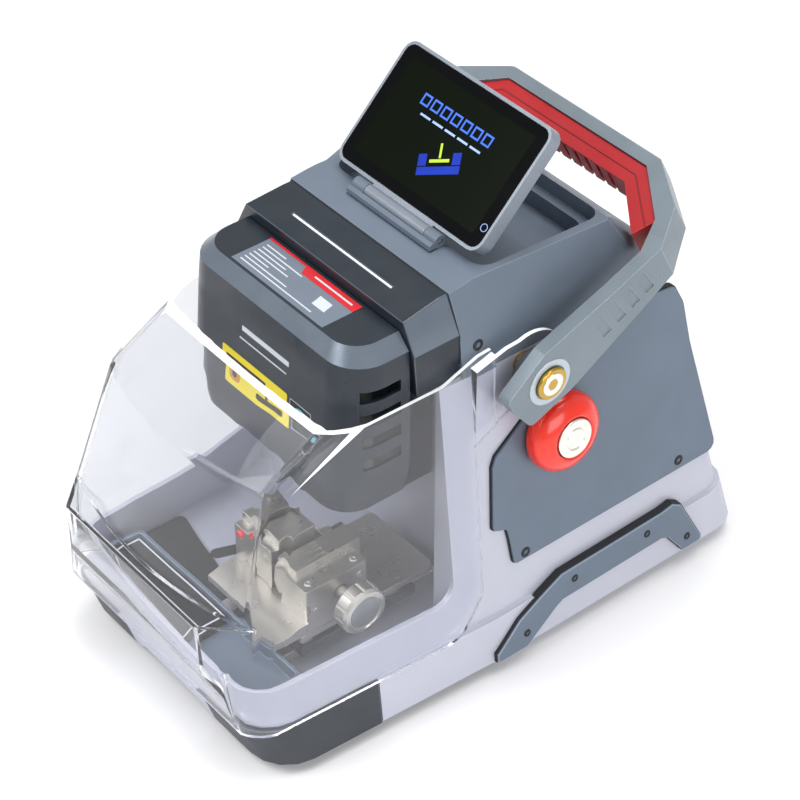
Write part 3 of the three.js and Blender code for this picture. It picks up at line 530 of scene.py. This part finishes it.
HEAD_ABOVE = 262  # height in mm that the labels on the head's top are laid out at
HEAD_AHEAD = -105  # y in mm that the labels on its front are laid out at
ROUND_GROUND = (27, 46, 184, 211)  # the dark ground of the round sticker


def top_sheet(name, outline, lift, look, cells=(10, 4)):
    """A label on the head's flat top, from four (x, y) corners."""
    head_sheet(name, [(x, y, HEAD_ABOVE) for x, y in outline], lift, look, DOWN, cells)


def box_corners(box):
    """The four corners of an upright box (x0, x1, z0, z1), in order round it."""
    x0, x1, z0, z1 = box
    return [(x0, z0), (x1, z0), (x1, z1), (x0, z1)]


def front_sheet(name, box, lift, look, cells=(10, 6), corner=0.0):
    """A label on the head's front, from (x0, x1, z0, z1)."""
    corners = [(x, HEAD_AHEAD, z) for x, z in box_corners(box)]
    head_sheet(name, corners, lift, look, BACK, cells, corner)


def make_top_label():
    """A grey label with a red edge, a red stripe, pale bars and a pale patch."""
    edge = [(-44, -54.6), (-10, -54.6), (-10, -53), (-44, -53)]
    stripe = [(-6, -60.4), (41, -60.4), (41, -53), (-10, -53)]
    top_sheet("top_label", [(-44, -82), (41, -82), (41, -53), (-44, -53)], 0.2, LABEL, cells=(12, 8))
    top_sheet("top_label_edge", edge, 0.35, STRIPE)
    top_sheet("top_label_stripe", stripe, 0.35, STRIPE)
    top_sheet("top_label_line", [(2, -57.2), (36, -57.2), (36, -56), (2, -56)], 0.45, PRINT, cells=(8, 1))
    for k, end in enumerate([-22, -3, -14, -8, -22, -1, 26]):
        y = -58.6 - 3.2 * k
        bar = [(-40, y - 0.9), (end, y - 0.9), (end, y), (-40, y)]
        top_sheet(f"top_label_bar_{k}", bar, 0.32, PRINT, cells=(6, 1))
    top_sheet("top_label_patch", [(20, -73), (31, -73), (29, -65), (18, -65)], 0.32, PRINT, cells=(4, 4))


def make_front_labels():
    """A yellow label with plain dark shapes, and two inlaid bars over it."""
    front_sheet("front_sticker", (-38, 24, 181.5, 212), 0.2, YELLOW, (12, 6), 1.2)
    front_sheet("front_sticker_band", (-34, 4, 203.5, 207.5), 0.34, INK, (8, 2), 0.6)
    front_sheet("front_sticker_line", (-34, 17, 199.5, 200.6), 0.34, INK, (8, 1))
    front_sheet("front_sticker_disc", (-34, -23, 186, 196.5), 0.34, AMBER, (6, 6), 3.6)
    front_sheet("front_sticker_dot", (-30.5, -26.5, 189, 193.5), 0.46, INK, (4, 4), 1.2)
    front_sheet("front_sticker_mark", (-7, 18, 186, 190.5), 0.34, INK, (6, 4), 1.5)
    front_sheet("front_sticker_post", (2, 4, 190.5, 196), 0.34, INK, (2, 4))
    front_sheet("front_inlay", (-20, 24, 231, 234.2), 0.3, PRINT, (12, 2))
    front_sheet("front_inlay_low", (-22, 22, 224.6, 225.5), 0.3, PRINT, (12, 1))


def head_front(x, z):
    """The point of the head's front at (x, z) in mm, and its normal there."""
    return land("head_cover", (x, -140, z), BACK)


def make_round_sticker():
    """A teal disc on a dark ground with a pale outline."""
    front_sheet("round_sticker_ground", ROUND_GROUND, 0.16, BLACK, (8, 8), 2.0)
    tools = bmesh.new()
    rings_into(tools, [ring(6.6, -1.6), ring(6.6, 0.35), ring(6.3, 0.5)], facing(*head_front(36.5, 202)))
    show("round_sticker", tools, TEAL, "base")
    corners = box_corners(ROUND_GROUND)
    outline = []
    for (x0, z0), (x1, z1) in zip(corners, corners[1:] + corners[:1]):
        for k in range(6):
            at, normal = head_front(x0 + (x1 - x0) * k / 6, z0 + (z1 - z0) * k / 6)
            outline.append(at + normal * 0.1 * MM)
    cord_line("round_sticker_outline", outline, 0.22, PRINT, "base", closed=True)


def in_body(joint, turn):
    """A matrix that takes a body's own drawing to its place at rest."""
    return Matrix.Translation(Vector(joint["pos_m"])) @ Matrix.Rotation(turn, 4, "X")


TABLET_TURN = math.radians(45.3)
BAIL_TURN = math.radians(27.4)
PICTURE_LIFT = 0.1  # height in mm of the picture's underside over the display's face
DISPLAY_MIDDLE = 46.7  # distance in mm of the display's middle from its hinge
BAIL_FACE = 112  # x in mm of the bail's outer faces


def flat_boxes(tools, boxes, matrix):
    """Thin boxes (x0, x1, y0, y1, z0, z1) in mm with a small chamfer on top."""
    for x0, x1, y0, y1, z0, z1 in boxes:
        c = min(0.15, (z1 - z0) / 2)
        rings = [
            [(x0, y0, z0), (x1, y0, z0), (x1, y1, z0), (x0, y1, z0)],
            [(x0, y0, z1 - c), (x1, y0, z1 - c), (x1, y1, z1 - c), (x0, y1, z1 - c)],
            [(x0 + c, y0 + c, z1), (x1 - c, y0 + c, z1), (x1 - c, y1 - c, z1), (x0 + c, y1 - c, z1)],
        ]
        rings_into(tools, [[Vector(p) * MM for p in r] for r in rings], matrix)


def picture_patch(name, boxes, look, turn=0.0):
    """Thin lit boxes (x0, x1, y0, y1, height) on the display, in mm from its middle."""
    tools = bmesh.new()
    matrix = in_body(joints["display_tilt"], TABLET_TURN)
    spin = Matrix.Translation(Vector((0, DISPLAY_MIDDLE, 0)) * MM) @ Matrix.Rotation(turn, 4, "Z")
    low = PICTURE_LIFT
    flat_boxes(tools, [(x0, x1, y0, y1, low, low + high) for x0, x1, y0, y1, high in boxes], matrix @ spin)
    show(name, tools, look, "display", smooth=False)


def make_picture():
    """What the display shows: a row of plain frames, a line, and a drawing of a key blank in a clamp."""
    picture_patch("picture_ground", [(-54, 54, -32.4, 32.4, 0.12)], LIT_GROUND)
    frames = []
    for k in range(7):
        x = -31 + 9 * k
        frames += [(x, x + 7, 18, 19.2, 0.2), (x, x + 7, 12, 13.2, 0.2), (x, x + 1.2, 13.2, 18, 0.2),
                   (x + 5.8, x + 7, 13.2, 18, 0.2)]
    picture_patch("picture_title", frames, LIT_BLUE)
    picture_patch("picture_line", [(-26 + 11 * k, -17 + 11 * k, 6.6, 8, 0.2) for k in range(5)], LIT_PALE)
    clamp = [(-15, 15, -19, -14, 0.2), (-15, -9, -13.4, -6, 0.2), (9, 15, -13.4, -6, 0.2)]
    picture_patch("picture_clamp", clamp, LIT_DEEP, 0.5)
    picture_patch("picture_key", [(-7, 7, -11.6, -9.6, 0.2), (-0.8, 0.8, -9, 0, 0.2)], LIT_GREEN, 0.5)


def make_home_ring():
    """The thin ring at the lower corner of the display's frame."""
    matrix = in_body(joints["display_tilt"], TABLET_TURN)
    bead = []
    for k in range(24):
        angle = 2 * math.pi * k / 24
        x, y = 58.6 + 2.3 * math.cos(angle), DISPLAY_MIDDLE - 26 + 2.3 * math.sin(angle)
        bead.append(matrix @ (Vector((x, y, PICTURE_LIFT)) * MM))
    cord_line("display_home_ring", bead, 0.22, LIT_PALE, "display", closed=True)


def bolt_face(side, sign, axis):
    """The bright end of a pivot bolt, with a hexagon socket."""
    low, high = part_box(f"pivot_bolt_{side}")
    x = high.x if sign > 0 else low.x
    rings = [ring(7.6, -1.0), ring(7.6, 0.25), ring(7.1, 0.4), ring(4.4, 0.4), ring(3.9, 0.15),
             ring(3.3, 0.15, 6), ring(3.1, -0.6, 6)]
    tools = bmesh.new()
    rings_into(tools, rings, facing(Vector((x, axis.y, axis.z)), Vector((sign, 0, 0))))
    show(f"bolt_face_{side}", tools, STEEL_EDGE, "base")


def bail_washer(side, sign, axis):
    """The washer round a pivot bolt, on the bail's outer face."""
    rings = [ring(15.4, -0.6), ring(15.4, 0.3), ring(14.9, 0.5), ring(11.4, 0.5), ring(11.1, 0.2),
             ring(11.1, -0.6)]
    tools = bmesh.new()
    washer_into(tools, rings, facing(Vector((BAIL_FACE * sign * MM, axis.y, axis.z)), Vector((sign, 0, 0))))
    show(f"bail_washer_{side}", tools, BAIL_EDGE, "bail")


def make_bolt_faces():
    axis = Vector(joints["visor_hinge"]["pos_m"])
    for side, sign in SIDES:
        bolt_face(side, sign, axis)
        bail_washer(side, sign, axis)


def washer_into(tools, rings, matrix):
    """Skins rings of points round a hole, back to where they began."""
    made = [[tools.verts.new(matrix @ Vector(p)) for p in r] for r in rings]
    for low, high in zip(made, made[1:] + made[:1]):
        for k in range(len(low)):
            j = (k + 1) % len(low)
            tools.faces.new([low[k], low[j], high[j], high[k]])


def make_seams():
    """A near-black bead along the seam between the front cover and the upper shell: painted shade in the gap.
    """
    steps = 40
    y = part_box("front_cover")[1].y / MM - BAY_BACK - 0.2
    middle = Vector((0, y, 226))
    points = []
    for k in range(steps + 1):
        angle = math.pi * (0.02 + 0.96 * k / steps)
        way = Vector((math.cos(angle), 0, -math.sin(angle)))
        points.append(land("front_cover", middle - way * 150, way)[0])
    cord_line("cover_seam_shade", points, 0.45, SEAM_SHADE, "base")


def gap_shade(name, grow, sink):
    """A near-black copy of a side plate, grown and sunk inwards, in mm: painted shade in the gap round the
    plate.
    """
    tools = bmesh.new()
    tools.from_mesh(nodes[name].data)
    bmesh.ops.remove_doubles(tools, verts=tools.verts, dist=0.01 * MM)
    tools.normal_update()
    moves = {vert: vert.normal.copy() for vert in tools.verts}
    inward = -1 if next(iter(tools.verts)).co.x > 0 else 1
    for vert, normal in moves.items():
        vert.co += normal * grow * MM
        vert.co.x += inward * sink * MM
    show(f"{name}_gasket", tools, SEAM_SHADE, "base", smooth=False)


def make_gap_shades():
    # a near-black rim round each side plate and rail: painted shade in its gap
    for side, _ in SIDES:
        gap_shade(f"side_panel_{side}", 1.1, 2.1)
        gap_shade(f"side_rail_{side}", 1.0, 2.0)


def lip_line(name, node, points, radius, look, body):
    """A thin bead that follows a CAD node under a row of points in mm."""
    steps = 6
    spots = [Vector(a).lerp(Vector(b), k / steps) for a, b in zip(points, points[1:]) for k in range(steps)]
    spots.append(Vector(points[-1]))
    line = [land(node, spot - Vector(DOWN) * AWAY, DOWN)[0] for spot in spots]
    return cord_line(name, line, radius, look, body)


def reached(node, start, way):
    """Where a line first meets a CAD node, or nothing."""
    try:
        return land(node, start, way)[0]
    except ValueError:
        return None


def make_floor_slot_shade():
    """A flat black patch with round ends on the bay's floor: painted shade standing in for the inside of a
    slot.
    """
    a, b = place(-54, -98, 0), place(-46, -78, 0)
    way = (b - a).normalized()
    side = Vector((-way.y, way.x, 0))
    rings = []
    for radius, z in ((4.6, 33.8), (4.6, 34.25), (4.2, 34.4)):
        loop = []
        for k in range(24):
            angle = 2 * math.pi * k / 24
            end = b if math.cos(angle) > 0 else a
            spot = end + (way * math.cos(angle) + side * math.sin(angle)) * radius * MM
            loop.append((spot.x, spot.y, z * MM))
        rings.append(loop)
    tools = bmesh.new()
    rings_into(tools, rings, Matrix.Identity(4))
    show("floor_slot_shade", tools, BLACK, "base")


def make_mat_frame():
    """The pale frame round the accessory mat."""
    mat = [(-77, -139), (12.6, -139), (12.6, -166), (-66, -166.5), (-75, -161), (-77, -152), (-77, -139)]
    lip_line("mat_frame", "tool_mat", [(x, y, 50) for x, y in mat], 0.6, SILVER_EDGE, "base")


def make_clamp_screws():
    places = [land("clamp_body", (120, y, z), (-1, 0, 0)) for y, z in ((-107, 76), (-74, 86), (-74, 76))]
    socket_screws("clamp_screws", places, 2.2, STEEL, "x_stage")
    tops = [land("clamp_body", (x, y, 130), DOWN) for x, y in ((55, -108), (55, -74))]
    socket_screws("clamp_top_screws", tops, 2.4, STEEL, "x_stage")


def make_jaw_marker():
    """The red button on the front of the fixed jaw."""
    spot = facing(*land("fixed_jaw", (-5, -160, 94), BACK))
    tools = bmesh.new()
    rings_into(tools, [ring(2.8, -0.8), ring(2.8, 1.2), ring(2.2, 2.2), ring(1.0, 2.6)], spot)
    show("jaw_marker", tools, SENSOR, "x_stage")


def make_knob_face():
    """The flat disc on the end of the clamp's knob."""
    low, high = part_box("clamp_knob")
    middle = Vector((high.x - 1.0 * MM, (low.y + high.y) / 2, (low.z + high.z) / 2))
    tools = bmesh.new()
    rings = [ring(10.8, -0.8), ring(10.8, 0.15), ring(10.4, 0.3)]
    rings_into(tools, rings, facing(middle, Vector((1, 0, 0))))
    show("knob_face", tools, KNOB_FACE, "clamp_knob")


def make_grip_groove_shade():
    """A darker red bead along the inset line on the grip's top: painted shade in its groove."""
    steps = 8
    matrix = in_body(joints["bail_swing"], BAIL_TURN)
    way = matrix.to_3x3() @ Vector(DOWN)
    half = [(90.4, 106), (59.6, 129.4)]
    points = [*half, *[(-x, y) for x, y in reversed(half)]]
    line = []
    for (x0, y0), (x1, y1) in zip(points, points[1:]):
        for k in range(steps):
            x, y = x0 + (x1 - x0) * k / steps, y0 + (y1 - y0) * k / steps
            spot = matrix @ (Vector((x, y, AWAY)) * MM)
            found = reached("bail_grip", (spot.x / MM, spot.y / MM - BAY_BACK, spot.z / MM), way)
            if found is not None:
                line.append(found)
    cord_line("grip_inset_shade", line, 0.45, GRIP_GROOVE_SHADE, "bail")


# ---- stage ----

FLOOR_SIZE = 6.0
FLOOR_TONES = ((0.86, 0.86, 0.87, 1), (0.88, 0.88, 0.89, 1))
AIM = (0, 0, 0.15)  # what the lamps point at
LAMPS = (  # name, place, size, watts
    ("key_light", (-0.5, -1.3, 1.7), (1.2, 1.2), 24),
    ("fill_light", (1.7, -0.3, 0.9), (1.4, 1.0), 13),
    ("top_light", (0.1, 0.4, 1.9), (1.6, 0.7), 18),
)
SKY_STRENGTH = 0.62
CAMERA_AT = (0.91364, -0.7368 + BAY_BACK * MM, 1.12169)
CAMERA_TURN = (50.15, 0.0, 50.84)  # degrees
LENS = 112.5
SENSOR_WIDTH = 36.0


def make_stage():
    tools = bmesh.new()
    bmesh.ops.create_grid(tools, x_segments=2, y_segments=2, size=FLOOR_SIZE)
    mesh = bpy.data.meshes.new("floor")
    tools.to_mesh(mesh)
    tools.free()
    t = Tree("floor_paint")
    share = t.ranged(t.noise(3.0, 2.0), 0.0, 1.0)
    t.link(t.mixed(share, *FLOOR_TONES), t.shader.inputs["Base Color"])
    t.shader.inputs["Roughness"].default_value = 0.75
    mesh.materials.append(t.material)
    add_object("floor", mesh)


def make_lamp(name, at, size, watts):
    light = bpy.data.lights.new(name, "AREA")
    light.shape = "RECTANGLE"
    light.size, light.size_y = size
    light.energy = watts
    stand = add_object(name, light)
    stand.location = at
    stand.rotation_euler = (Vector(AIM) - Vector(at)).to_track_quat("-Z", "Y").to_euler()


def make_lights():
    for settings in LAMPS:
        make_lamp(*settings)
    world = bpy.data.worlds.new("studio")
    bpy.context.scene.world = world
    world.use_nodes = True
    world.node_tree.nodes["Background"].inputs["Color"].default_value = (1.0, 1.0, 1.0, 1)
    world.node_tree.nodes["Background"].inputs["Strength"].default_value = SKY_STRENGTH


def make_camera():
    lens = bpy.data.cameras.new("view")
    lens.lens = LENS
    lens.sensor_width = SENSOR_WIDTH
    lens.clip_start = 0.05
    camera = add_object("view", lens)
    camera.location = CAMERA_AT
    camera.rotation_euler = [math.radians(a) for a in CAMERA_TURN]
    bpy.context.scene.camera = camera
    bpy.context.scene.view_settings.view_transform = "Standard"


make_camera()
dress_frame()
make_screws()
make_top_label()
make_front_labels()
make_round_sticker()
make_picture()
make_home_ring()
make_bolt_faces()
make_seams()
make_gap_shades()
make_grip_groove_shade()
make_floor_slot_shade()
make_mat_frame()
make_clamp_screws()
make_jaw_marker()
make_knob_face()
make_stage()
make_lights()
